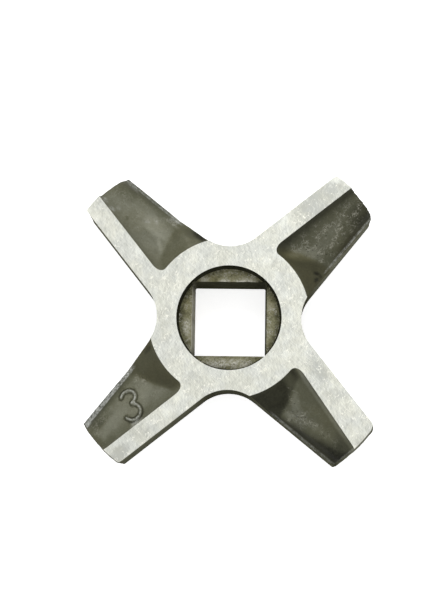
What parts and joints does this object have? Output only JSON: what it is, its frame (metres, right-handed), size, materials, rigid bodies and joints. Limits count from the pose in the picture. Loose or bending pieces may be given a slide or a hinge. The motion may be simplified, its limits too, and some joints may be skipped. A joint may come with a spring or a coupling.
{
  "type": "meat grinder knife",
  "caption": "Flat cross-shaped cutting knife with tapered arms, ground cutting lands, hollows behind them, and a square drive hole under a round recess.",
  "frame": {"origin": "middle of the flat back, on the axis of rotation", "axes": "+Z along the axis of rotation, out of the cutting face; +X and +Y square to the sides of the drive hole, so that the arms lie on the diagonals"},
  "size_m": [0.0376, 0.0378, 0.0074],
  "materials": {
    "cast_steel": "rough cast skin in the hollows and on the walls, ground bright on the cutting face"
  },
  "bodies": {
    "root": {"knife": "cast_steel"}
  },
  "joints": []
}
